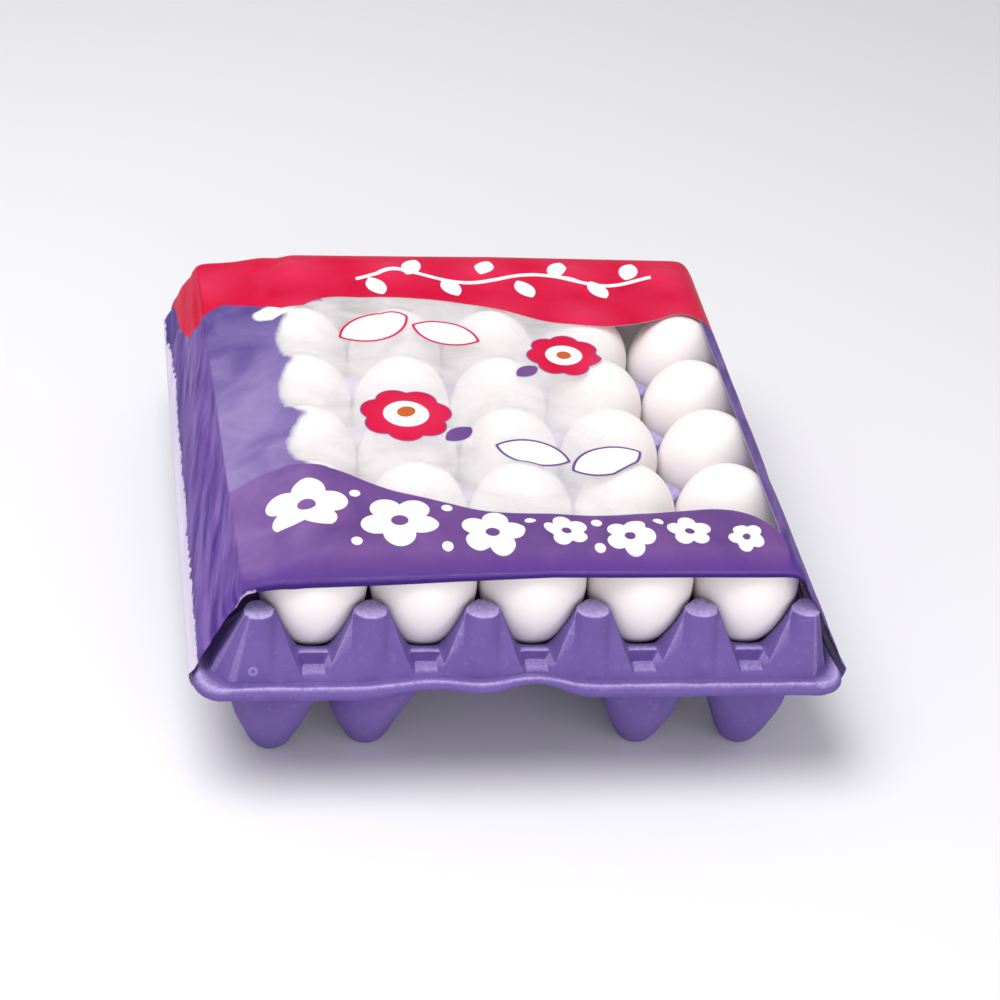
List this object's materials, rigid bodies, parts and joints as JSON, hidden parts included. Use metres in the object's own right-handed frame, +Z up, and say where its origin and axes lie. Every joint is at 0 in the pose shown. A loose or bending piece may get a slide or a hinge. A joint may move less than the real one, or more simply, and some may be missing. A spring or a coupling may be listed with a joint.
{
  "type": "egg tray with eggs in a film sleeve",
  "caption": "Moulded pulp tray filled with white eggs and wrapped in a see-through printed film sleeve, open at front and back, with peaks between the cups, a lipped rim and finger gaps.",
  "frame": {"origin": "under the middle of the whole pack, on the surface that it stands on", "axes": "+Z up, +Y from the front of the pack to its back, +X to the right as seen from the front"},
  "size_m": [0.3034, 0.305, 0.1134],
  "materials": {
    "moulded_pulp": "matt violet dyed pulp",
    "egg_shell": "smooth satin white shell",
    "printed_film": "glossy clear film with violet and crimson print"
  },
  "bodies": {
    "root": {"tray": "moulded_pulp", "egg_row1_column1": "egg_shell", "egg_row1_column2": "egg_shell", "egg_row1_column3": "egg_shell", "egg_row1_column4": "egg_shell", "egg_row1_column5": "egg_shell", "egg_row2_column1": "egg_shell", "egg_row2_column2": "egg_shell", "egg_row2_column3": "egg_shell", "egg_row2_column4": "egg_shell", "egg_row2_column5": "egg_shell", "egg_row3_column1": "egg_shell", "egg_row3_column2": "egg_shell", "egg_row3_column3": "egg_shell", "egg_row3_column4": "egg_shell", "egg_row3_column5": "egg_shell", "egg_row4_column1": "egg_shell", "egg_row4_column2": "egg_shell", "egg_row4_column3": "egg_shell", "egg_row4_column4": "egg_shell", "egg_row4_column5": "egg_shell", "egg_row5_column1": "egg_shell", "egg_row5_column2": "egg_shell", "egg_row5_column3": "egg_shell", "egg_row5_column4": "egg_shell", "egg_row5_column5": "egg_shell", "egg_row6_column1": "egg_shell", "egg_row6_column2": "egg_shell", "egg_row6_column3": "egg_shell", "egg_row6_column4": "egg_shell", "egg_row6_column5": "egg_shell", "sleeve": "printed_film"}
  },
  "joints": []
}
